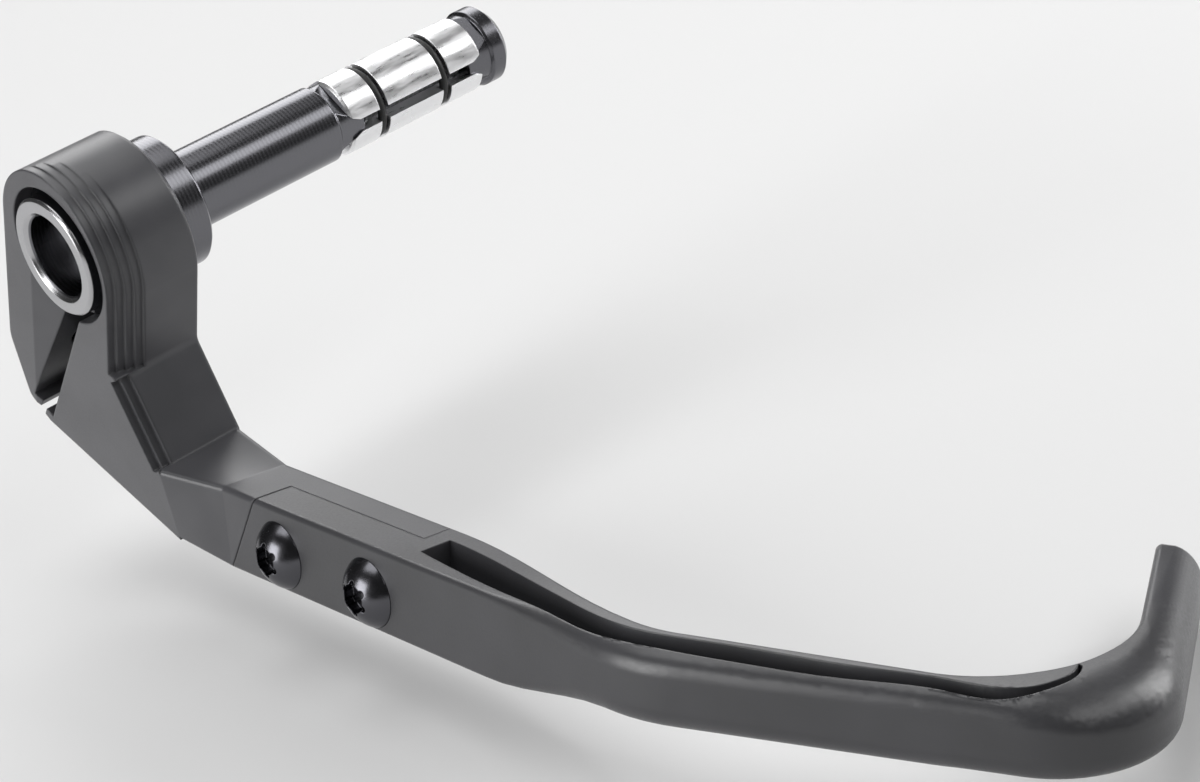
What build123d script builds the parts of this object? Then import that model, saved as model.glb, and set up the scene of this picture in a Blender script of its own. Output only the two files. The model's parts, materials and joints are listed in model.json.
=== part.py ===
from build123d import *
from math import cos, pi, radians, sin, tan
import os

# Brake lever guard for the end of a motorcycle handlebar, in millimetres.
# +X runs along the bar away from its end, -Y is forward and +Z is up.
# The origin is the centre of the collar's face, which seats on the end of the bar.

# Plug that enters the bar, one turned piece
tube_diameter = 13.0
tube_length = 30.0
collar_diameter = 22.0
collar_length = 5.8
bush_diameter = 22.9
front_ring_diameter = 19.8
front_ring_reach = 1.0
front_recess = 2.6
front_flare = 1.6
counterbore_diameter = 13.6
counterbore_floor = 8.0
mouth_chamfer = 0.8
bolt_hole_diameter = 6.5
edge_break = 0.4

# Expander on the plug's inner end
segment_count = 3
segment_length = 28.0
segment_bore = 7.6
segment_slit = 2.2
slit_angle = -8.0
ramp_angle = 20.0
ramp_base = 5.5
ramp_clearance = 0.05
wedge_diameter = 12.2
rim_gap = 2.0
o_ring_places = (6.8, 20.0)
o_ring_section = 1.7
o_ring_clearance = 0.05
nut_diameter = 13.3
nut_flange = 4.0
nut_dome = 1.2

# Draw bolt and its washer
bolt_diameter = 6.0
bolt_head_diameter = 10.0
bolt_head_height = 6.0
bolt_socket = 5.0
bolt_socket_depth = 3.0
bolt_end_depth = 0.5
washer_diameter = 12.0
washer_thickness = 1.4
thread_clearance = 0.05

# Clamp ring, neck and ear of the arm
ring_diameter = 28.8
ring_width = 15.8
ring_lip = 0.8
ring_clearance = 0.05
neck_lean = 27.0
neck_front_length = 16.0
neck_rear_length = 28.6
facet_lean = 17.2
facet_length = 15.7
ear_height = 11.3
ear_foot_run = 4.0
sole_slope = 23.7
corner_round = 2.0
ridge_count = 4
ridge_step = 0.48
ridge_depth = 1.4
ridge_fade = 0.25
edge_line_count = 2
edge_line_step = 0.9
edge_line_depth = 1.3

# Clamp slit with a bevelled lip, and the pinch screw across it
slit_lean = 43.0
slit_offset = 5.15
slit_width = 1.6
pocket_width = 5.2
pocket_depth = 10.0
pocket_margin = 1.6
lip_offset = 7.6
lip_width = 9.0
lip_depth = 3.0
pinch_diameter = 5.0
pinch_head_diameter = 8.5
pinch_head_height = 5.0
pinch_length = 20.0
pinch_socket = 4.0
pinch_socket_depth = 2.5
pinch_place = 25.0
pinch_seat = 9.5
pinch_clearance = 0.25

# Seam where the arm hands over to the blade, in a frame tilted about Y
guard_tilt = 10.5
guard_setback = 1.2
seam_y = -21.8
seam_z = -50.8
seam_run = 8.7
seam_gap = 0.2
lap_thickness = 7.0
lap_length = 42.5
lap_clearance = 0.05
arm_thickness = 12.5
blade_height = 13.6
edge_round = 0.8

# Screws of the lap joint
screw_diameter = 6.0
screw_head_diameter = 10.9
screw_head_height = 3.3
screw_socket = 5.6
screw_socket_depth = 2.2
screw_places = (14.4, lap_length - 5.5)
screw_height = 5.9
screw_clearance = 0.15
screw_end_depth = 0.5

# Blade beyond the lap, along its front line from the seam
blade_thickness = 7.6
blade_lift = 1.9
front_round = 3.6
rear_round = 0.9
straight_length = lap_length + 3.5
blend_length = 42.0
round_delay = 0.43
bend_gap = 0.8
bend_angle = 23.0
bend_radius = 30.0
reach_length = 47.7
hook_angle = 102.0
hook_radius = 16.0
hook_thickness = 5.6
hook_inner_radius = 19.6
tip_straight = 37.0
tip_thickness = 6.3
tip_round = 1.6

# Groove in the blade's top
groove_depth = 4.2
groove_wall = 0.9

tube_r = tube_diameter / 2
bush_r = bush_diameter / 2
ring_r = ring_diameter / 2
ring_inner_x = -collar_length
face_x = ring_inner_x - ring_width
segment_x = tube_length + rim_gap
segment_end = segment_x + segment_length
nut_x = segment_end + rim_gap
nut_end = nut_x + nut_flange
seat_x = -counterbore_floor - washer_thickness


def save(shape, node):
    """Writes one piece to a file of its own."""
    export_step(shape, f"parts/{node}.step")


def turned(*points):
    """A solid turned about the bar's axis from (x, radius) points."""
    return revolve(make_face(Polyline(*points, close=True)), Axis.X)


def rod(x_from, x_to, radius):
    """A round rod on the bar's axis."""
    return Pos((x_from + x_to) / 2, 0, 0) * Rot(0, 90, 0) * Cylinder(radius, abs(x_to - x_from))


def upward(radius, length):
    """A cylinder that stands on the origin."""
    return Cylinder(radius, length, align=(Align.CENTER, Align.CENTER, Align.MIN))


def downward(radius, length):
    """A cylinder that hangs from the origin."""
    return Cylinder(radius, length, align=(Align.CENTER, Align.CENTER, Align.MAX))


def way(lean):
    """A unit direction in (y, z) that leads down, leaning back by an angle."""
    return Vector(sin(radians(lean)), -cos(radians(lean)))


def left_of(direction):
    """The direction square to one in (y, z), towards the rear."""
    return Vector(-direction.Y, direction.X)


def edge_plane(edge_x, point, along):
    """The plane square to an edge of the arm: x inboard, y outward."""
    return Plane((edge_x, point.X, point.Y), x_dir=(1, 0, 0), z_dir=(0, along.X, along.Y))


# Plug body
def make_plug():
    front_x = face_x - front_ring_reach
    flare_end = face_x + front_recess
    flare_start = flare_end - front_flare
    front_r = front_ring_diameter / 2
    collar_r = collar_diameter / 2
    flare_r = bush_r - edge_break
    flare_mid = (flare_end - front_flare * 0.3, front_r + (flare_r - front_r) * 0.3)
    front = Polyline(
        (front_x, 0), (front_x, front_r - edge_break), (front_x + edge_break, front_r), (flare_start, front_r)
    )
    flare = ThreePointArc((flare_start, front_r), flare_mid, (flare_end, flare_r))
    back = Polyline(
        (flare_end, flare_r),
        (flare_end + edge_break, bush_r),
        (ring_inner_x - edge_break, bush_r),
        (ring_inner_x, flare_r),
        (ring_inner_x, collar_r),
        (-edge_break, collar_r),
        (0, collar_r - edge_break),
        (0, tube_r),
        (tube_length - edge_break, tube_r),
        (tube_length, tube_r - edge_break),
        (tube_length, 0),
        (front_x, 0),
    )
    body = revolve(make_face(Curve() + [front, flare, back]), Axis.X)
    body += ramps(tube_length, 1, segment_bore / 2) & rod(tube_length, segment_end, wedge_diameter / 2)
    bore_r = counterbore_diameter / 2
    body -= turned(
        (front_x, 0),
        (front_x, bore_r + mouth_chamfer),
        (front_x + mouth_chamfer, bore_r),
        (-counterbore_floor, bore_r),
        (-counterbore_floor, 0),
    )
    return body - rod(-counterbore_floor, segment_end, bolt_hole_diameter / 2)


# Flat ramps, one under each segment, that narrow from base_x until they are `top` from the axis
def ramps(base_x, direction, top):
    to_corner = 1 / cos(pi / segment_count)
    length = (ramp_base - top) / tan(radians(ramp_angle))
    ends = []
    for x, flat in ((base_x, ramp_base), (base_x + direction * length, top)):
        section = RegularPolygon(flat * to_corner, segment_count, rotation=slit_angle)
        ends.append(Plane((x, 0, 0), x_dir=(0, -1, 0), z_dir=(-1, 0, 0)) * section)
    return loft(ends)


# Expander segments: one slotted sleeve, cut to ride on the ramps
def make_segments():
    sleeve = rod(segment_x, segment_end, tube_r)
    sleeve = chamfer(sleeve.edges().filter_by(GeomType.CIRCLE), edge_break)
    sleeve -= rod(segment_x, segment_end, segment_bore / 2)
    groove_r = tube_r - o_ring_section - o_ring_clearance
    half = o_ring_section / 2 + o_ring_clearance
    for place in o_ring_places:
        low = segment_x + place - half
        high = segment_x + place + half
        sleeve -= rod(low, high, tube_diameter) - rod(low, high, groove_r)
    step = ramp_clearance / sin(radians(ramp_angle))
    sleeve -= ramps(tube_length + step, 1, segment_bore / 4)
    sleeve -= ramps(nut_x - step, -1, segment_bore / 4)
    pitch = 360 / segment_count
    for number in range(segment_count):
        slot = Pos((segment_x + segment_end) / 2, -tube_r, 0)
        slot *= Box(segment_length, tube_diameter, segment_slit)
        sleeve -= Rot(-slit_angle - number * pitch, 0, 0) * slot
    pieces = []
    for number in range(segment_count):
        angle = radians(slit_angle + (number + 0.5) * pitch)
        outward = Vector(0, -cos(angle), sin(angle))
        pieces.append(max(sleeve.solids(), key=lambda solid: solid.center().dot(outward)))
    return pieces


def make_o_ring(place):
    section = RegularPolygon(o_ring_section / 2, 10)
    return revolve(Pos(segment_x + place, tube_r - o_ring_section / 2) * section, Axis.X)


def make_nut():
    nut_r = nut_diameter / 2
    nut = turned(
        (nut_x, 0),
        (nut_x, nut_r - edge_break),
        (nut_x + edge_break, nut_r),
        (nut_end - nut_dome, nut_r),
        (nut_end, nut_r - nut_dome),
        (nut_end, 0),
    )
    nut += ramps(nut_x, -1, segment_bore / 2) & rod(segment_x, nut_x, wedge_diameter / 2)
    return nut - rod(segment_x, nut_end, bolt_diameter / 2 + thread_clearance)


# Draw bolt with a hexagon socket, and the washer under its head
def make_draw_bolt():
    head_x = seat_x - bolt_head_height
    head_r = bolt_head_diameter / 2
    bolt_r = bolt_diameter / 2
    bolt_end = nut_end - bolt_end_depth
    bolt = turned(
        (head_x, 0),
        (head_x, head_r - edge_break),
        (head_x + edge_break, head_r),
        (seat_x, head_r),
        (seat_x, bolt_r),
        (bolt_end - edge_break, bolt_r),
        (bolt_end, bolt_r - edge_break),
        (bolt_end, 0),
    )
    hexagon = RegularPolygon(bolt_socket / 2, 6, major_radius=False)
    return bolt - Pos(head_x, 0, 0) * extrude(Plane.YZ * hexagon, bolt_socket_depth)


def make_washer():
    disc = rod(seat_x, -counterbore_floor, washer_diameter / 2)
    return disc - rod(seat_x, -counterbore_floor, bolt_hole_diameter / 2)


# Outline of the arm in (y, z): the ring's two tangents lead down to the facet and the ear
neck_way = way(neck_lean)
neck_across = left_of(neck_way)
neck_front = neck_across * -ring_r
rear_tangent = neck_across * ring_r
crease = neck_front + neck_way * neck_front_length
facet_way = way(-facet_lean)
facet_foot = crease + facet_way * facet_length
shoulder = rear_tangent + neck_way * neck_rear_length
heel = shoulder + Vector(0, -ear_height)
ear_foot = heel + Vector(-ear_foot_run, -ear_foot_run)
sole_foot = Vector(facet_foot.X, ear_foot.Y - (ear_foot.X - facet_foot.X) * tan(radians(sole_slope)))
slit_way = way(slit_lean)
slit_across = left_of(slit_way)


def make_arm():
    corners = (neck_front, crease, facet_foot, sole_foot, ear_foot, heel, shoulder, rear_tangent)
    outline = make_face(Polyline(*corners, close=True))
    for corner, radius in ((crease, 1), (ear_foot, 1), (heel, 1), (shoulder, 3)):
        nearest = outline.vertices().sort_by_distance((corner.X, corner.Y, 0))[0]
        outline = fillet(nearest, radius * corner_round)
    arm = Pos(face_x, 0, 0) * extrude(Plane.YZ * (outline + Circle(ring_r)), ring_width)
    arm += make_limb()
    arm -= make_stepped_edge()
    arm -= make_inner_lip()
    arm -= rod(face_x - 1, ring_inner_x + 1, bush_r + ring_clearance)
    arm -= make_clamp_slit()
    arm -= pinch_frame * make_pinch_hole()
    for place in screw_places:
        hole = Cylinder(screw_diameter / 2 + thread_clearance, 4 * arm_thickness)
        arm -= guard * Pos(0, -place, screw_height) * Rot(0, 90, 0) * hole
    return arm


# Stepped edge over the ring and down the front of the neck, and a coarser one down the facet
def make_stepped_edge():
    lines = stair(edge_line_count, edge_line_step, edge_line_depth)
    edge = extrude(edge_plane(face_x, crease, facet_way) * lines, facet_length)
    for number in range(ridge_count):
        layer = Plane.YZ * ridge_face((ridge_count - number) * ridge_step)
        edge += Pos(face_x + number * ridge_depth, 0, 0) * extrude(layer, ridge_depth)
    return edge


def ridge_face(drop):
    """What a ridge removes in (y, z): all of its drop at the front of the neck, fading to none at the rear."""
    aside = drop / 2 + ridge_fade
    kept = Pos(*(neck_across * aside)) * Circle(ring_r - drop + aside)
    front = neck_across * (drop - ring_r)
    foot = neck_way * neck_front_length
    kept += make_face(Polyline(front, front + foot, rear_tangent + foot, rear_tangent, close=True))
    middle = neck_way * (neck_front_length / 2 - ring_r)
    reach = Rectangle(4 * ring_r, neck_front_length + 2 * ring_r)
    return Pos(*middle) * Rot(0, 0, neck_lean) * reach - kept


# Lip round the top of the ring's inner edge, fading to none where the neck begins
def make_inner_lip():
    reach = ring_r / 4
    corner = make_face(Polyline((-reach, reach), (reach, reach), (reach, -reach), close=True))
    arc = revolve(Pos(ring_inner_x, ring_r, 0) * corner, Axis.X, 180)
    return Pos(0, neck_way.X * ring_lip, neck_way.Y * ring_lip) * Rot(neck_lean, 0, 0) * arc


def stair(count, step, depth):
    """A stair-shaped section in (inboard, outward), from an edge of the outboard face."""
    points = [(-1, 1), (-1, -count * step)]
    for number in range(count):
        points.append(((number + 1) * depth, -(count - number) * step))
        points.append(((number + 1) * depth, -(count - number - 1) * step))
    points.append((count * depth, 1))
    return make_face(Polyline(*points, close=True))


# Slit from the bore out through the ear, in a blind pocket with a bevel on its rear side
def make_clamp_slit():
    length = 4 * ring_r
    turned_frame = Pos(face_x, 0, 0) * Rot(slit_lean - 90, 0, 0) * Pos(0, 0, -slit_offset)
    slit = turned_frame * Pos(0, length / 2, 0) * Box(4 * ring_width, length, slit_width)
    pocket_end = ear_foot.dot(slit_way) - pocket_margin
    slit += turned_frame * Pos(0, pocket_end / 2, 0) * Box(2 * pocket_depth, pocket_end, pocket_width)
    bevel = make_face(Polyline((-1, -1), (-1, lip_width), (lip_depth, lip_width), (0, 0), close=True))
    lip = extrude(edge_plane(face_x, neck_across * lip_offset, neck_way) * bevel, length)
    rear_side = turned_frame * Pos(0, length / 2, length / 2) * Box(2 * ring_width, length, length)
    return slit + (lip & rear_side)


# Pinch screw: z runs across the slit towards the ear, from the middle of the slit
pinch_point = slit_across * -slit_offset + slit_way * pinch_place
pinch_frame = Pos(face_x + ring_width / 2, pinch_point.X, pinch_point.Y) * Rot(slit_lean - 90, 0, 0)


def make_pinch_hole():
    hole = Pos(0, 0, pinch_seat) * upward(pinch_head_diameter / 2 + pinch_clearance, ring_diameter)
    hole += upward(pinch_diameter / 2 + pinch_clearance, pinch_seat)
    return hole + downward(pinch_diameter / 2 + thread_clearance, pinch_length - pinch_seat + 1)


def make_pinch_screw():
    head = upward(pinch_head_diameter / 2, pinch_head_height)
    head = chamfer(head.edges().group_by(Axis.Z)[-1], edge_break)
    socket = extrude(RegularPolygon(pinch_socket / 2, 6, major_radius=False), -pinch_socket_depth)
    head -= Pos(0, 0, pinch_head_height) * socket
    screw = head + downward(pinch_diameter / 2, pinch_length)
    return pinch_frame * Pos(0, 0, pinch_seat) * screw


# Guard frame: x runs inboard across the blade, -y forward along it and z up from its lower edge
guard = Pos(face_x + guard_setback, seam_y, seam_z) * Rot(0, guard_tilt, 0)


def blade_section(plane, thickness, low, high, front, rear):
    """A rounded section on a plane whose x runs inboard and y up from the front line."""
    rear_x = thickness - rear
    rear_low = low + rear
    rear_high = high - rear
    edges = Curve() + [
        Line((front, low), (rear_x, low)),
        CenterArc((rear_x, rear_low), rear, -90, 90),
        Line((thickness, rear_low), (thickness, rear_high)),
        CenterArc((rear_x, rear_high), rear, 0, 90),
        Line((rear_x, high), (front, high)),
        CenterArc((front, high - front), front, 90, 90),
        Line((0, high - front), (0, low + front)),
        CenterArc((front, low + front), front, 180, 90),
    ]
    return plane * make_face(edges)


def lap_section(plane):
    """The plain section that arm and blade share at the lap joint."""
    return blade_section(plane, arm_thickness, 0, blade_height, edge_round, edge_round)


def guard_block(x_from, x_to, run_from, run_to):
    """A full-height block in the guard's frame, its run measured forward from the seam."""
    middle = Pos((x_from + x_to) / 2, -(run_from + run_to) / 2, blade_height / 2)
    return middle * Box(x_to - x_from, run_to - run_from, 2 * blade_height)


def behind_seam(gap):
    """All that lies behind the slanted seam, moved forward by a gap."""
    slant = seam_run / blade_height
    reach = 2 * blade_height
    points = [(-gap - slant * height, height) for height in (-reach, reach)]
    points += [(lap_length, reach), (lap_length, -reach)]
    return Pos(-1, 0, 0) * extrude(Plane.YZ * make_face(Polyline(*points, close=True)), 2 * arm_thickness)


# Limb that turns from the neck to the tilted lap, with the tongue of the lap joint
def make_limb():
    neck_plane = Plane((face_x, facet_foot.X, sole_foot.Y), x_dir=(1, 0, 0), z_dir=(0, -1, 0))
    limb_height = facet_foot.Y - sole_foot.Y
    start = blade_section(neck_plane, ring_width, 0, limb_height, edge_round, edge_round)
    limb = loft([start, guard * lap_section(Plane.XZ)])
    stub = extrude(lap_section(Plane.XZ), lap_length - lap_clearance)
    tongue = guard_block(lap_thickness + lap_clearance, arm_thickness + 1, -1, lap_length)
    return limb + guard * (stub & (tongue + behind_seam(0)))


# Front line of the blade in the guard's plan, from the seam to the hook's tip
second_way = Vector(sin(radians(bend_angle)), -cos(radians(bend_angle)))
third_way = Vector(sin(radians(bend_angle + hook_angle)), -cos(radians(bend_angle + hook_angle)))
bend_tangent = bend_radius * tan(radians(bend_angle / 2))
hook_tangent = hook_radius * tan(radians(hook_angle / 2))
bend_from = straight_length + blend_length + bend_gap
bend_to = bend_from + bend_radius * radians(bend_angle)
hook_from = bend_to + reach_length
hook_to = hook_from + hook_radius * radians(hook_angle)
bend_corner = Vector(0, -bend_from - bend_tangent)
hook_corner = bend_corner + second_way * (bend_tangent + reach_length + hook_tangent)
tip = hook_corner + third_way * (hook_tangent + tip_straight)
front_line = FilletPolyline((0, 0), bend_corner, hook_corner, tip, radius=[bend_radius, hook_radius])
hook_depth = hook_thickness + hook_inner_radius
hook_slack = tip_thickness + hook_inner_radius - hook_depth * cos(radians(hook_angle))
hook_back = hook_slack / sin(radians(hook_angle))
hook_centre = hook_corner - second_way * hook_back + left_of(second_way) * hook_depth
hook_lead = hook_back - hook_tangent
hook_trail = (hook_centre - hook_corner).dot(third_way) - hook_tangent
tip_from = front_line.length - tip_round

# Groove along the blade, as distances from the seam, offsets from the front line and widths
groove_stations = (
    (straight_length, 3.7, 5.4),
    (straight_length + 10, 2.6, 5.9),
    (straight_length + 20, 1.9, 5.3),
    (straight_length + 30, 1.7, 4.2),
    (bend_from, 1.7, 3.6),
    (bend_to + 7, 1.7, 3.9),
    (bend_to + 25, 1.3, 2.9),
    (hook_from - 10, 1.5, 2.4),
    (hook_from, 2.3, 2.0),
    (hook_from + 5, 5.1, 1.6),
    (hook_from + 9.5, 7.4, 1.2),
    (hook_from + 14.5, 10.2, 0.6),
)


def station(distance, inset=0):
    """The plane square to the front line at a distance from the seam, moved in by an inset."""
    point = front_line.position_at(distance, position_mode=PositionMode.LENGTH)
    along = front_line.tangent_at(distance, position_mode=PositionMode.LENGTH)
    inward = Vector(-along.Y, along.X)
    return Plane(point + inward * inset, x_dir=inward, z_dir=along)


def round_section(distance, thickness, share, inset):
    """The blade's section, from plain at share 0 to fully rounded at share 1."""
    front = min(edge_round + (front_round - edge_round) * share, 0.6 * thickness) - inset
    rear = max(edge_round + (rear_round - edge_round) * share - inset, edge_break)
    low = blade_lift * share + inset
    plane = station(distance, inset)
    return blade_section(plane, thickness - 2 * inset, low, blade_height - inset, front, rear)


def ease(share):
    """A share from 0 to 1 with a soft start and end."""
    return share * share * (3 - 2 * share)


def run_stations():
    """Distance, thickness, roundness and inset of the sections from the straight part to the tip."""
    places = []
    for step in range(11):
        share = step / 10
        thickness = arm_thickness + (blade_thickness - arm_thickness) * ease(share)
        roundness = ease(max(0, share - round_delay) / (1 - round_delay))
        places.append((straight_length + blend_length * share, thickness, roundness, 0))
    for step in range(7):
        places.append((bend_from + (bend_to - bend_from) * step / 6, blade_thickness, 1, 0))
    for step in range(31):
        distance = hook_from - hook_lead + (hook_to + hook_trail - hook_from + hook_lead) * step / 30
        plane = station(distance)
        to_centre = hook_centre - plane.origin
        aside = to_centre.dot(plane.z_dir)
        places.append((distance, to_centre.dot(plane.x_dir) - (hook_inner_radius**2 - aside**2) ** 0.5, 1, 0))
    for angle in (0, 30, 60, 90):
        inset = tip_round * (1 - cos(radians(angle)))
        places.append((tip_from + tip_round * sin(radians(angle)), tip_thickness, 1, inset))
    return places


# Blade in its own frame: the lap, then a run that thins, rounds, bends inboard and hooks back
def make_blade():
    lap = extrude(lap_section(Plane.XZ), straight_length)
    lap -= guard_block(lap_thickness, arm_thickness + 1, -1, lap_length)
    lap -= behind_seam(seam_gap)
    blade = lap + loft([round_section(*place) for place in run_stations()], ruled=True)
    blade -= make_groove()
    for place in screw_places:
        hole = Cylinder(screw_diameter / 2 + screw_clearance, 4 * arm_thickness)
        blade -= Pos(0, -place, screw_height) * Rot(0, 90, 0) * hole
    return guard * blade


def groove_outline(level, inset):
    """The groove's closed outline at a level, narrowed by an inset on each side."""
    front = []
    rear = []
    for distance, offset, width in groove_stations:
        side = min(inset, width / 3)
        plane = station(distance)
        front.append(plane.from_local_coords((offset + side, level, 0)))
        rear.append(plane.from_local_coords((offset + width - side, level, 0)))
    edges = [Spline(*front), Line(front[-1], rear[-1]), Spline(*reversed(rear)), Line(rear[0], front[0])]
    return make_face(Curve() + edges)


def make_groove():
    slope = groove_wall / groove_depth
    top = groove_outline(blade_height + 1, -slope)
    return loft([top, groove_outline(blade_height - groove_depth, groove_wall)])


# Button-head screw with a six-lobe socket, its head up from the origin
def make_blade_screw():
    head_r = screw_head_diameter / 2
    dome_r = (head_r**2 + screw_head_height**2) / (2 * screw_head_height)
    dome = Pos(0, 0, screw_head_height - dome_r) * Sphere(dome_r)
    head = dome & upward(head_r, screw_head_height)
    socket = Circle(screw_socket * 0.4)
    for number in range(6):
        socket += Rot(0, 0, 60 * number) * Pos(screw_socket * 0.39, 0) * Circle(screw_socket * 0.11)
    head -= Pos(0, 0, screw_head_height - screw_socket_depth) * extrude(socket, screw_head_height)
    return head + downward(screw_diameter / 2, arm_thickness - screw_end_depth)


os.makedirs("parts", exist_ok=True)
save(make_plug(), "plug_body")
save(make_draw_bolt(), "draw_bolt")
save(make_washer(), "washer")
save(make_nut(), "cone_nut")
for number, piece in enumerate(make_segments(), 1):
    save(piece, f"expander_segment_{number}")
for number, place in enumerate(o_ring_places, 1):
    save(make_o_ring(place), f"o_ring_{number}")
save(make_arm(), "arm_bracket")
save(make_pinch_screw(), "pinch_screw")
save(make_blade(), "guard_blade")
for number, place in enumerate(screw_places, 1):
    save(guard * Pos(0, -place, screw_height) * Rot(0, -90, 0) * make_blade_screw(), f"blade_screw_{number}")
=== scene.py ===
import json
import math

import bpy
from mathutils import Matrix, Vector

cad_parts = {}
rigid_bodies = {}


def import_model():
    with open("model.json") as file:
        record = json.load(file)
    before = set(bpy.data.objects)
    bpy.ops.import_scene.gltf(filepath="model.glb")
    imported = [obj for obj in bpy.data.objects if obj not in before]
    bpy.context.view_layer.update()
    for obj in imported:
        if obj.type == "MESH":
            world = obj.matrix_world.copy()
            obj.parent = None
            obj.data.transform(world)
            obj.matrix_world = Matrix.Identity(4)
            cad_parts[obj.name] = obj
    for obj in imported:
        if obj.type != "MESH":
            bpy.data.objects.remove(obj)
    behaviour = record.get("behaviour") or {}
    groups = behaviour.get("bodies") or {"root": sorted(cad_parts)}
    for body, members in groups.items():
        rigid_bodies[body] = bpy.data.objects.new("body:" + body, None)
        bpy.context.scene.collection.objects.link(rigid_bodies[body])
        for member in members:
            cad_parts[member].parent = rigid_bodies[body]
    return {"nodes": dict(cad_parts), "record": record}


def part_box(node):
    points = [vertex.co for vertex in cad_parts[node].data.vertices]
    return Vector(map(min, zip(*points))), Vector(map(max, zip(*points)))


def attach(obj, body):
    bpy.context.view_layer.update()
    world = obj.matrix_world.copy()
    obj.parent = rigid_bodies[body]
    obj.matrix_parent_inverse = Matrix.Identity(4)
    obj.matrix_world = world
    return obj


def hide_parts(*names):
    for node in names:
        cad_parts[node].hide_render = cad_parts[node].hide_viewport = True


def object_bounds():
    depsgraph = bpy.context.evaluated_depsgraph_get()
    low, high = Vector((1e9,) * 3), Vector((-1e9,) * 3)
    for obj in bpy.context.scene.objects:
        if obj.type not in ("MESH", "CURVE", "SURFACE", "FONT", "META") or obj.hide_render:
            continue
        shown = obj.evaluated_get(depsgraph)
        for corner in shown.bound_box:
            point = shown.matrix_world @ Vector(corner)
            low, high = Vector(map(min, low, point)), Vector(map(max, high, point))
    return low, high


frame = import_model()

cad_low, cad_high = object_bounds()
MM = 0.001
nodes = frame["nodes"]
record = frame["record"]


# Materials

def srgb(code):
    """A hex colour as linear values with full alpha."""
    parts = [int(code[n:n + 2], 16) / 255 for n in (1, 3, 5)]
    linear = [c / 12.92 if c <= 0.04045 else ((c + 0.055) / 1.055) ** 2.4 for c in parts]
    return (*linear, 1.0)


def add(material, kind, settings=(), **links):
    """Adds a node, sets its properties and inputs, and links its inputs from other sockets."""
    tree = material.node_tree
    node = tree.nodes.new(kind)
    for key, value in dict(settings).items():
        if hasattr(node, key):
            setattr(node, key, value)
        else:
            node.inputs[key].default_value = value
    for key, source in links.items():
        tree.links.new(source, node.inputs[key.replace("_", " ")])
    return node


def new_material(name, **constants):
    """A node material with constants on its shader, and object coordinates in millimetres."""
    material = bpy.data.materials.new(name)
    material.use_nodes = True
    shader = material.node_tree.nodes["Principled BSDF"]
    for key, value in constants.items():
        shader.inputs[key.replace("_", " ")].default_value = value
    coordinates = add(material, "ShaderNodeTexCoord")
    in_mm = add(material, "ShaderNodeVectorMath", {"operation": "SCALE", "Scale": 1000.0},
                Vector=coordinates.outputs["Object"])
    return material, shader, in_mm.outputs["Vector"]


def connect(material, source, shader, socket):
    material.node_tree.links.new(source, shader.inputs[socket])


def blasted_black_anodised_aluminium():
    # Blasted with fine beads, then anodised black: an even, dense micro-texture that spreads
    # the light, so faces turned to a lamp read as a soft grey and the others as near black.
    material, shader, mm = new_material("blasted_black_anodised_aluminium")
    # The blast marks are about 0.1 mm across and are drawn at about 0.25 mm, so that they show.
    blast = add(material, "ShaderNodeTexNoise", {"Scale": 4.0, "Detail": 4.0, "Roughness": 0.7},
                Vector=mm)
    # The dye takes a little unevenly over patches of about 12 mm.
    cloud = add(material, "ShaderNodeTexNoise", {"Scale": 0.08, "Detail": 2.0}, Vector=mm)
    tone = add(material, "ShaderNodeValToRGB", Fac=cloud.outputs["Fac"])
    tone.color_ramp.elements[0].position = 0.35
    tone.color_ramp.elements[0].color = srgb("#444447")
    tone.color_ramp.elements[1].position = 0.65
    tone.color_ramp.elements[1].color = srgb("#4c4c4f")
    connect(material, tone.outputs["Color"], shader, "Base Color")
    rough = add(material, "ShaderNodeMapRange",
                {"From Min": 0.3, "From Max": 0.7, "To Min": 0.29, "To Max": 0.40},
                Value=blast.outputs["Fac"])
    connect(material, rough.outputs["Result"], shader, "Roughness")
    edge = add(material, "ShaderNodeBevel", {"samples": 8, "Radius": 0.6 * MM})
    bump = add(material, "ShaderNodeBump", {"Strength": 0.25, "Distance": 0.02 * MM},
               Height=blast.outputs["Fac"], Normal=edge.outputs["Normal"])
    connect(material, bump.outputs["Normal"], shader, "Normal")
    return material


def moulded_polyamide():
    # Glass-filled polyamide from a spark-eroded mould: matte, with a fine pebbled grain.
    material, shader, mm = new_material("moulded_polyamide", IOR=1.53)
    # The grain is about 0.15 mm and is drawn at about 0.4 mm, so that it shows.
    grain = add(material, "ShaderNodeTexNoise", {"Scale": 2.6, "Detail": 3.0, "Roughness": 0.6},
                Vector=mm)
    # Flow in the mould leaves faint long clouds of about 20 mm.
    flow = add(material, "ShaderNodeTexNoise", {"Scale": 0.05, "Detail": 2.0}, Vector=mm)
    tone = add(material, "ShaderNodeValToRGB", Fac=flow.outputs["Fac"])
    tone.color_ramp.elements[0].position = 0.35
    tone.color_ramp.elements[0].color = srgb("#38383a")
    tone.color_ramp.elements[1].position = 0.65
    tone.color_ramp.elements[1].color = srgb("#404043")
    connect(material, tone.outputs["Color"], shader, "Base Color")
    rough = add(material, "ShaderNodeMapRange",
                {"From Min": 0.3, "From Max": 0.7, "To Min": 0.28, "To Max": 0.40},
                Value=grain.outputs["Fac"])
    connect(material, rough.outputs["Result"], shader, "Roughness")
    edge = add(material, "ShaderNodeBevel", {"samples": 8, "Radius": 0.35 * MM})
    bump = add(material, "ShaderNodeBump", {"Strength": 0.3, "Distance": 0.03 * MM},
               Height=grain.outputs["Fac"], Normal=edge.outputs["Normal"])
    connect(material, bump.outputs["Normal"], shader, "Normal")
    return material


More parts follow.
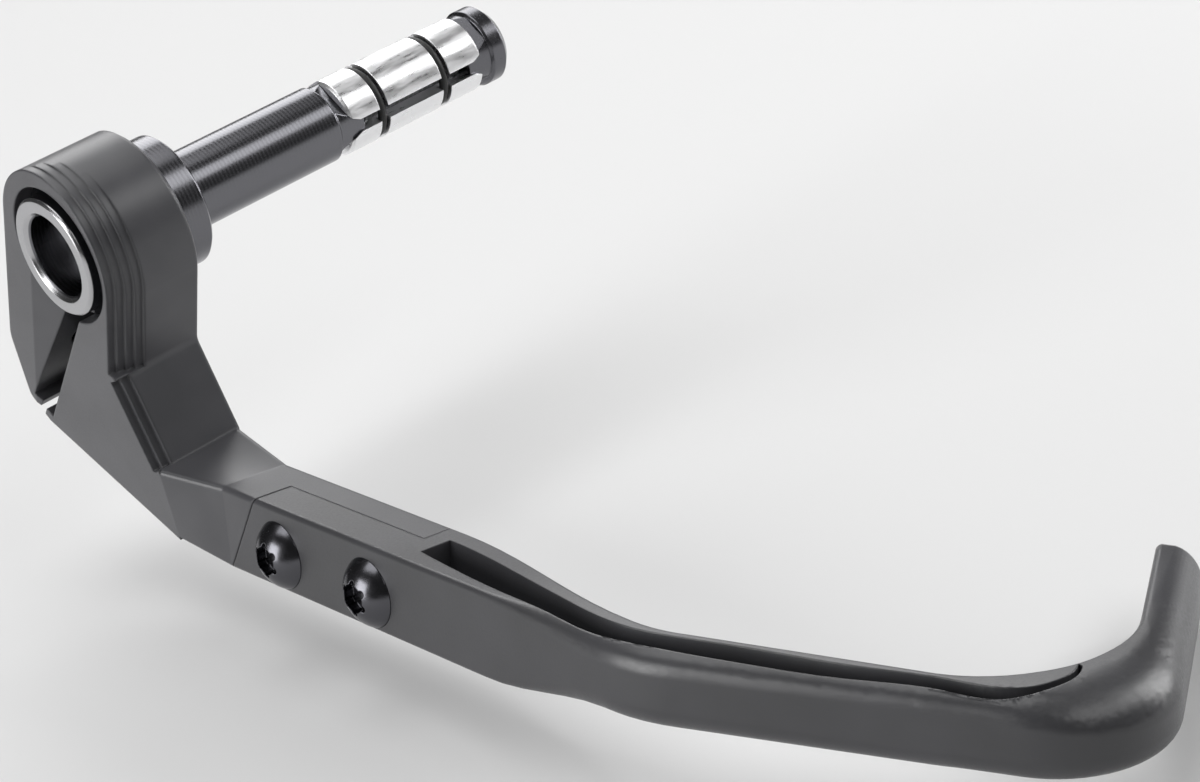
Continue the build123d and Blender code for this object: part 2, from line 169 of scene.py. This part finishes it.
def polished_black_aluminium():
    # Turned, polished and anodised black: a dark mirror with faint turning lines.
    material, shader, mm = new_material("polished_black_aluminium", Metallic=1.0)
    # The tool's feed of 0.1 mm is drawn at 0.7 mm, so that it shows.
    lines = add(material, "ShaderNodeTexWave",
                {"wave_type": "BANDS", "bands_direction": "X",
                 "Scale": 0.45, "Distortion": 0.4, "Detail": 2.0},
                Vector=mm)
    rough = add(material, "ShaderNodeMapRange", {"To Min": 0.20, "To Max": 0.27}, Value=lines.outputs["Fac"])
    connect(material, rough.outputs["Result"], shader, "Roughness")
    edge = add(material, "ShaderNodeBevel", {"samples": 8, "Radius": 0.3 * MM})
    connect(material, edge.outputs["Normal"], shader, "Normal")
    # The rim at the open end is painted paler than the rest: a painted highlight in place of the bright
    # sheen on its flat face.
    place = add(material, "ShaderNodeSeparateXYZ", Vector=mm)
    painted_highlight_rim_x = (cad_low[0] + 0.5 * MM) / MM
    painted_highlight_rim = add(material, "ShaderNodeMapRange",
              {"From Min": painted_highlight_rim_x, "From Max": painted_highlight_rim_x + 0.1, "To Min": 1.0, "To Max": 0.0},
              Value=place.outputs["X"])
    tone = add(material, "ShaderNodeValToRGB", Fac=painted_highlight_rim.outputs["Result"])
    # The second, paler colour is the painted highlight on the rim.
    tone.color_ramp.elements[0].color = srgb("#707074")
    tone.color_ramp.elements[1].color = srgb("#b4b4b6")
    connect(material, tone.outputs["Color"], shader, "Base Color")
    return material


def bare_turned_aluminium():
    # Bare metal, turned and tumbled: bright and satin, with soft streaks along its length.
    material, shader, mm = new_material("bare_turned_aluminium", Metallic=1.0, Base_Color=srgb("#f2f2f3"))
    # Streaks about 4 mm long and 0.7 mm wide.
    longwise = add(material, "ShaderNodeVectorMath", {"operation": "MULTIPLY"})
    longwise.inputs[1].default_value = (0.25, 1.4, 1.4)
    material.node_tree.links.new(mm, longwise.inputs[0])
    streaks = add(material, "ShaderNodeTexNoise", {"Scale": 1.0, "Detail": 4.0},
                  Vector=longwise.outputs["Vector"])
    rough = add(material, "ShaderNodeMapRange",
                {"From Min": 0.3, "From Max": 0.7, "To Min": 0.24, "To Max": 0.42},
                Value=streaks.outputs["Fac"])
    connect(material, rough.outputs["Result"], shader, "Roughness")
    edge = add(material, "ShaderNodeBevel", {"samples": 8, "Radius": 0.15 * MM})
    connect(material, edge.outputs["Normal"], shader, "Normal")
    return material


def satin_black_aluminium():
    # The nut: black anodised straight off the machine, satin rather than polished.
    material, shader, mm = new_material("satin_black_aluminium", Metallic=1.0, Base_Color=srgb("#6a6a6e"))
    marks = add(material, "ShaderNodeTexNoise", {"Scale": 3.0, "Detail": 3.0}, Vector=mm)
    rough = add(material, "ShaderNodeMapRange", {"To Min": 0.18, "To Max": 0.32}, Value=marks.outputs["Fac"])
    connect(material, rough.outputs["Result"], shader, "Roughness")
    edge = add(material, "ShaderNodeBevel", {"samples": 8, "Radius": 0.25 * MM})
    connect(material, edge.outputs["Normal"], shader, "Normal")
    return material


def black_oxide_screw_steel():
    # Hardened screws with an oiled black finish: shiny, with small soft unevenness.
    material, shader, mm = new_material("black_oxide_screw_steel", Metallic=1.0, Base_Color=srgb("#5c5c60"))
    oil = add(material, "ShaderNodeTexNoise", {"Scale": 1.2, "Detail": 3.0}, Vector=mm)
    rough = add(material, "ShaderNodeMapRange", {"To Min": 0.16, "To Max": 0.32}, Value=oil.outputs["Fac"])
    connect(material, rough.outputs["Result"], shader, "Roughness")
    edge = add(material, "ShaderNodeBevel", {"samples": 8, "Radius": 0.25 * MM})
    connect(material, edge.outputs["Normal"], shader, "Normal")
    return material


def zinc_plated_steel():
    # The draw bolt and washer: plated, satin and a little cloudy.
    material, shader, mm = new_material("zinc_plated_steel", Metallic=1.0, Base_Color=srgb("#c9c9cb"))
    cloud = add(material, "ShaderNodeTexNoise", {"Scale": 0.9, "Detail": 3.0}, Vector=mm)
    rough = add(material, "ShaderNodeMapRange", {"To Min": 0.25, "To Max": 0.42}, Value=cloud.outputs["Fac"])
    connect(material, rough.outputs["Result"], shader, "Roughness")
    return material


def nitrile_rubber():
    # Moulded rubber rings: near black, dull, with a slight bloom.
    material, shader, mm = new_material("nitrile_rubber", IOR=1.52, Base_Color=srgb("#1a1a1a"))
    bloom = add(material, "ShaderNodeTexNoise", {"Scale": 1.5, "Detail": 3.0}, Vector=mm)
    rough = add(material, "ShaderNodeMapRange", {"To Min": 0.45, "To Max": 0.65}, Value=bloom.outputs["Fac"])
    connect(material, rough.outputs["Result"], shader, "Roughness")
    return material


finishes = {
    "matte_black_aluminium": blasted_black_anodised_aluminium(),
    "moulded_polyamide": moulded_polyamide(),
    "polished_black_aluminium": polished_black_aluminium(),
    "bare_aluminium": bare_turned_aluminium(),
    "black_nut": satin_black_aluminium(),
    "black_screw_steel": black_oxide_screw_steel(),
    "bolt_steel": zinc_plated_steel(),
    "rubber": nitrile_rubber(),
}
for subpart in record["subparts"]:
    piece = nodes[subpart["node"]]
    piece.data.materials.clear()
    piece.data.materials.append(finishes[subpart["material_slot"]])


# Pieces that replace CAD nodes

def deselect():
    bpy.ops.object.select_all(action="DESELECT")


def pick(piece):
    """Makes a piece the only one selected, and the active one."""
    deselect()
    piece.select_set(True)
    bpy.context.view_layer.objects.active = piece


def settle(name):
    """Puts the active object's place into its mesh and names it."""
    piece = bpy.context.object
    piece.name = name
    bpy.ops.object.transform_apply(location=True, rotation=True, scale=True)
    return piece


def select_where(piece, test):
    """In edit mode, selects the faces whose centre and normal pass a test."""
    bpy.ops.mesh.select_mode(type="FACE")
    bpy.ops.mesh.select_all(action="DESELECT")
    bpy.ops.object.mode_set(mode="OBJECT")
    for face in piece.data.polygons:
        face.select = test(face.center, face.normal)
    bpy.ops.object.mode_set(mode="EDIT")


def close_ends():
    """In edit mode, fills the open ends of a swept tube and turns its faces outwards."""
    bpy.ops.mesh.select_all(action="SELECT")
    bpy.ops.mesh.remove_doubles(threshold=0.0005 * MM)
    bpy.ops.mesh.fill_holes(sides=0)
    bpy.ops.mesh.normals_make_consistent(inside=False)


def finish_piece(piece, body, slot, *replaced):
    """Smooths a piece, gives it its finish and ties it to the body that carries it."""
    pick(piece)
    bpy.ops.object.shade_smooth_by_angle(angle=math.radians(35))
    piece.data.materials.clear()
    piece.data.materials.append(finishes[slot])
    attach(piece, body)
    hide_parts(*replaced)


def rod(name, x_from, x_to, radius, sides, bevel):
    """A rod on the bar's axis with broken edges at both ends."""
    deselect()
    bpy.ops.mesh.primitive_cylinder_add(
        vertices=sides, radius=radius, depth=x_to - x_from,
        location=((x_from + x_to) / 2, 0, 0), rotation=(0, math.pi / 2, 0))
    piece = settle(name)
    bpy.ops.object.mode_set(mode="EDIT")
    select_where(piece, lambda centre, normal: abs(normal.x) > 0.9)
    bpy.ops.mesh.region_to_loop()
    bpy.ops.mesh.bevel(offset=bevel, segments=2)
    bpy.ops.object.mode_set(mode="OBJECT")
    return piece


def thread_ridge(name, x_from, turns, pitch, root_r, crest_r):
    """A trapezoid ridge wound round the bar's axis."""
    foot_share = 0.86  # of the pitch
    crest_share = 0.16  # of the foot
    middle_r = (root_r + crest_r) / 2
    deselect()
    bpy.ops.mesh.primitive_plane_add(size=1, location=(x_from, middle_r, 0))
    piece = bpy.context.object
    piece.scale = (pitch * foot_share, crest_r - root_r, 1)
    piece = settle(name)
    bpy.ops.object.mode_set(mode="EDIT")
    bpy.ops.mesh.select_mode(type="VERT")
    bpy.ops.mesh.select_all(action="DESELECT")
    bpy.ops.object.mode_set(mode="OBJECT")
    for point in piece.data.vertices:
        point.select = point.co.y > middle_r
    bpy.ops.object.mode_set(mode="EDIT")
    bpy.ops.transform.resize(value=(crest_share, 1, 1), center_override=(x_from, crest_r, 0))
    bpy.ops.mesh.select_all(action="SELECT")
    bpy.ops.mesh.delete(type="ONLY_FACE")
    bpy.ops.object.mode_set(mode="OBJECT")
    winding = piece.modifiers.new("winding", "SCREW")
    winding.axis = "X"
    winding.screw_offset = pitch
    winding.iterations = turns
    winding.steps = 24
    winding.render_steps = 24
    winding.use_merge_vertices = True
    bpy.ops.object.modifier_apply(modifier="winding")
    bpy.ops.object.mode_set(mode="EDIT")
    close_ends()
    bpy.ops.object.mode_set(mode="OBJECT")
    return piece


def make_draw_bolt():
    """A cap screw with a hex socket, a plain shank and a rolled M6 thread."""
    low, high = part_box("draw_bolt")
    head_r = high[2]
    head_x = low[0]
    end_x = high[0]
    head_length = 6 * MM
    seat_x = head_x + head_length
    thread_x = 22 * MM
    socket_r = 2.5 * MM / math.cos(math.pi / 6)
    socket_depth = 3 * MM
    lap = 0.2 * MM
    pitch = 1 * MM
    crest_r = 3 * MM
    root_r = 2.45 * MM
    head = rod("draw_bolt_head", head_x, seat_x, head_r, 48, 0.5 * MM)
    deselect()
    bpy.ops.mesh.primitive_cylinder_add(
        vertices=6, radius=socket_r, depth=2 * socket_depth,
        location=(head_x, 0, 0), rotation=(0, math.pi / 2, 0))
    cutter = settle("hex_cutter")
    socket = head.modifiers.new("socket", "BOOLEAN")
    socket.operation = "DIFFERENCE"
    socket.object = cutter
    pick(head)
    bpy.ops.object.modifier_apply(modifier="socket")
    bpy.data.objects.remove(cutter)
    shank = rod("draw_bolt_shank", seat_x - lap, thread_x, crest_r, 40, 0.15 * MM)
    core = rod("draw_bolt_core", thread_x - pitch, end_x, root_r, 40, 0.4 * MM)
    turns = int((end_x - thread_x) / pitch) - 1
    ridge = thread_ridge("draw_bolt_thread", thread_x, turns, pitch, root_r - 0.05 * MM, crest_r)
    pick(head)
    for part in (shank, core, ridge):
        part.select_set(True)
    bpy.ops.object.join()
    head.name = "threaded_draw_bolt"
    finish_piece(head, "bolt", "bolt_steel", "draw_bolt")


def make_o_ring_arcs():
    """Each rubber ring as three arcs, one in each segment's groove, that overlap across the slits."""
    reach = math.radians(132)
    section_r = 0.74 * MM
    groove_r = 4.77 * MM
    middle_r = groove_r + section_r
    axes = {joint["name"]: joint["axis"] for joint in record["behaviour"]["joints"]}
    for ring in ("o_ring_1", "o_ring_2"):
        low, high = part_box(ring)
        middle_x = (low[0] + high[0]) / 2
        for number in (1, 2, 3):
            _, y, z = axes[f"segment_{number}_spread"]
            start = math.atan2(z, y) - reach / 2
            deselect()
            bpy.ops.mesh.primitive_circle_add(
                vertices=16, radius=section_r, rotation=(start, 0, 0),
                location=(middle_x, middle_r * math.cos(start), middle_r * math.sin(start)))
            arc = settle(f"{ring}_arc_{number}")
            bpy.ops.object.mode_set(mode="EDIT")
            bpy.ops.mesh.select_all(action="SELECT")
            bpy.ops.mesh.spin(steps=24, angle=reach, center=(0, 0, 0), axis=(1, 0, 0))
            close_ends()
            bpy.ops.object.mode_set(mode="OBJECT")
            finish_piece(arc, f"segment_{number}", "rubber", ring)


def ease(share):
    """A share from 0 to 1 with a soft start and end."""
    share = min(max(share, 0), 1)
    return share * share * (3 - 2 * share)


def plan_way(angle):
    """A direction in the blade's plan, turned inboard from forward, and the one square to it."""
    ahead = Vector((math.sin(math.radians(angle)), -math.cos(math.radians(angle))))
    return ahead, Vector((-ahead.y, ahead.x))


# The blade's own frame and the front line of its hook in millimetres, as the solid has them
blade_place = Matrix.Translation((-20.4 * MM, -21.8 * MM, -50.8 * MM))
blade_frame = blade_place @ Matrix.Rotation(math.radians(10.5), 4, "Y")
blade_up = blade_frame.to_3x3() @ Vector((0, 0, 1))
to_blade = blade_frame.inverted()
reach_way, reach_in = plan_way(23)
tip_way, tip_in = plan_way(125)
hook_r = 16.0
hook_start = Vector((21.02, -144.43))
hook_centre = hook_start + reach_in * hook_r
hook_sweep = math.radians(102)
blade_top = 13.6
blade_middle = 7.75
plain_round = 3.6

# The roll of the hook's top, by distance along the front line from the hook's start
roll_from = -4
roll_growth = 22
roll_wider = 5.4
roll_deeper = 2.2
narrow_from = 18
narrow_growth = 20
narrower = 4.0
smooth_from = 4
smooth_to = 55
smooth_edge = 0.3
smooth_margin = 1

# The groove's floor in the solid, and how far the scene sinks it
groove_level = 9.4 * MM
groove_deeper = 3.6 * MM
groove_from_y = -44 * MM
lap_to_y = -45 * MM


def place_on_hook(point):
    """How far a point of the plan lies along the front line from the hook's start, and inwards."""
    offset = point - hook_centre
    if offset.dot(tip_way) >= 0 and offset.dot(tip_in) < hook_r:
        return hook_r * hook_sweep + offset.dot(tip_way), hook_r + offset.dot(tip_in)
    if offset.dot(reach_way) > 0:
        turned = math.atan2(offset.dot(reach_way), -offset.dot(reach_in))
        return hook_r * turned, hook_r - offset.length
    return offset.dot(reach_way), hook_r + offset.dot(reach_in)


def drop(inwards, wide, deep):
    """How far an edge with a rounding of a given width and depth has fallen, going inwards."""
    share = 1 - min(max(inwards, 0) / wide, 1)
    return deep * (1 - math.sqrt(1 - share * share))


def roll_hook(blade):
    """Rolls the top of the hook over towards its front, and selects what is to be smoothed."""
    for vertex in blade.data.vertices:
        spot = (to_blade @ vertex.co) / MM
        along, inwards = place_on_hook(Vector((spot.x, spot.y)))
        grown = ease((along - roll_from) / roll_growth)
        if spot.z <= blade_middle or grown == 0:
            continue
        wide = plain_round + roll_wider * grown - narrower * ease((along - narrow_from) / narrow_growth)
        deep = plain_round + roll_deeper * grown
        plain = blade_top - drop(inwards, plain_round, plain_round)
        rolled = blade_top - drop(inwards, wide, deep)
        height = spot.z - blade_middle
        spot.z = blade_middle + height * (rolled - blade_middle) / (plain - blade_middle)
        vertex.co = blade_frame @ (spot * MM)
        inside = smooth_edge < inwards < wide - smooth_margin
        vertex.select = smooth_from < along < smooth_to and inside


def cut_finely(x_range, y_range, step):
    """In edit mode, cuts the visible faces along upright planes, so that they can roll."""
    turned = blade_frame.to_3x3()
    for axis, (first, last) in ((Vector((1, 0, 0)), x_range), (Vector((0, 1, 0)), y_range)):
        for count in range(int((last - first) / step)):
            place = blade_frame @ (axis * (first + count * step) * MM)
            bpy.ops.mesh.select_all(action="SELECT")
            bpy.ops.mesh.bisect(plane_co=place, plane_no=turned @ axis)


def is_groove_floor(centre, normal, level):
    """Whether a face is part of the groove's floor at a level."""
    spot = to_blade @ centre
    return normal.dot(blade_up) > 0.9 and abs(spot.z - level) < 0.3 * MM and spot.y < groove_from_y


def shade_flat_in_groove(blade):
    """In edit mode, shades the groove's floor and walls flat: they grow from the floor to the lip."""
    sunk = groove_level - groove_deeper
    select_where(blade, lambda centre, normal: is_groove_floor(centre, normal, sunk))
    bpy.ops.mesh.select_more()
    bpy.ops.mesh.select_more()
    bpy.ops.object.mode_set(mode="OBJECT")
    for face in blade.data.polygons:
        upright = face.normal.dot(blade_up) < 0.3
        face.select = face.select and (upright or (to_blade @ face.center).z < 6.5 * MM)
    bpy.ops.object.mode_set(mode="EDIT")
    bpy.ops.mesh.faces_shade_flat()


def make_blade():
    """The moulded blade: its solid, shaded smooth, with a fuller roll at the hook and a deeper groove."""
    blade = bpy.data.objects.new("moulded_blade", nodes["guard_blade"].data.copy())
    bpy.context.scene.collection.objects.link(blade)
    pick(blade)
    bpy.ops.object.mode_set(mode="EDIT")
    bpy.ops.mesh.select_all(action="SELECT")
    bpy.ops.mesh.remove_doubles(threshold=0.001 * MM)
    bpy.ops.mesh.dissolve_degenerate(threshold=0.005 * MM)
    # Only the top of the blade is cut, so the other faces are hidden meanwhile.
    select_where(blade, lambda centre, normal:
                 normal.dot(blade_up) < 0.3 or (to_blade @ centre).z < 9.9 * MM)
    bpy.ops.mesh.hide(unselected=False)
    cut_finely((18, 70), (-156, -138), 0.8)
    bpy.ops.mesh.reveal(select=False)
    select_where(blade, lambda centre, normal: is_groove_floor(centre, normal, groove_level))
    bpy.ops.transform.translate(value=blade_up * -groove_deeper)
    bpy.ops.mesh.select_mode(type="VERT")
    bpy.ops.mesh.select_all(action="DESELECT")
    bpy.ops.object.mode_set(mode="OBJECT")
    roll_hook(blade)
    bpy.ops.object.mode_set(mode="EDIT")
    bpy.ops.mesh.vertices_smooth(factor=0.5, repeat=6)
    bpy.ops.object.mode_set(mode="OBJECT")
    finish_piece(blade, "arm", "moulded_polyamide", "guard_blade")
    bpy.ops.object.mode_set(mode="EDIT")
    shade_flat_in_groove(blade)
    select_where(blade, lambda centre, normal: (to_blade @ centre).y > lap_to_y)
    bpy.ops.mesh.faces_shade_flat()
    bpy.ops.object.mode_set(mode="OBJECT")
    weighted = blade.modifiers.new("weighted", "WEIGHTED_NORMAL")
    weighted.keep_sharp = True
    bpy.ops.object.modifier_apply(modifier="weighted")


make_draw_bolt()
make_o_ring_arcs()
make_blade()


# Floor, light and camera

deselect()
floor_gap = 0.5 * MM
bpy.ops.mesh.primitive_plane_add(size=8, location=(0, 0, cad_low[2] - floor_gap))
floor = bpy.context.object
floor.name = "floor"
floor_paint = new_material("pale_matte_floor", Base_Color=srgb("#d8d8d8"), Roughness=0.9)[0]
floor.data.materials.append(floor_paint)

world = bpy.data.worlds.new("studio")
world.use_nodes = True
background = world.node_tree.nodes["Background"]
background.inputs["Color"].default_value = srgb("#bfbfbf")
background.inputs["Strength"].default_value = 0.12
bpy.context.scene.world = world


def lamp(name, place, aim, width, height, watts):
    """A rectangular softbox that faces a point."""
    data = bpy.data.lights.new(name, "AREA")
    data.shape = "RECTANGLE"
    data.size = width
    data.size_y = height
    data.energy = watts
    box = bpy.data.objects.new(name, data)
    box.location = place
    box.rotation_euler = (Vector(aim) - Vector(place)).to_track_quat("-Z", "Y").to_euler()
    bpy.context.scene.collection.objects.link(box)


middle = (0.01, -0.08, -0.02)
lamp("overhead_softbox", (0.0, 0.10, 0.85), middle, 0.8, 0.6, 4)
lamp("back_softbox", (0.55, 0.75, 0.55), middle, 1.0, 0.6, 6.5)
lamp("left_softbox", (-0.85, 0.15, 0.25), middle, 0.5, 0.6, 6)
lamp("front_fill", (0.3, -0.75, 0.7), middle, 0.9, 0.4, 2.8)
lamp("right_softbox", (0.85, -0.35, 0.25), middle, 0.4, 0.6, 5)

# The camera stands where the part looks as it does in the photograph.
eye = Vector((-0.2115, -0.3967, 0.1630))
ahead = Vector((0.524, 0.734, -0.432)).normalized()
across = Vector((0.73, -0.648, -0.216)).normalized()
upward = across.cross(ahead).normalized()
across = ahead.cross(upward).normalized()
camera_data = bpy.data.cameras.new("camera")
camera_data.sensor_fit = "HORIZONTAL"
camera_data.sensor_width = 36
camera_data.lens = 90
camera_data.clip_start = 0.01
camera = bpy.data.objects.new("camera", camera_data)
turn = Matrix((across, upward, -ahead)).transposed()
camera.matrix_world = Matrix.Translation(eye) @ turn.to_4x4()
bpy.context.scene.collection.objects.link(camera)
bpy.context.scene.camera = camera
bpy.context.scene.view_settings.view_transform = "Standard"
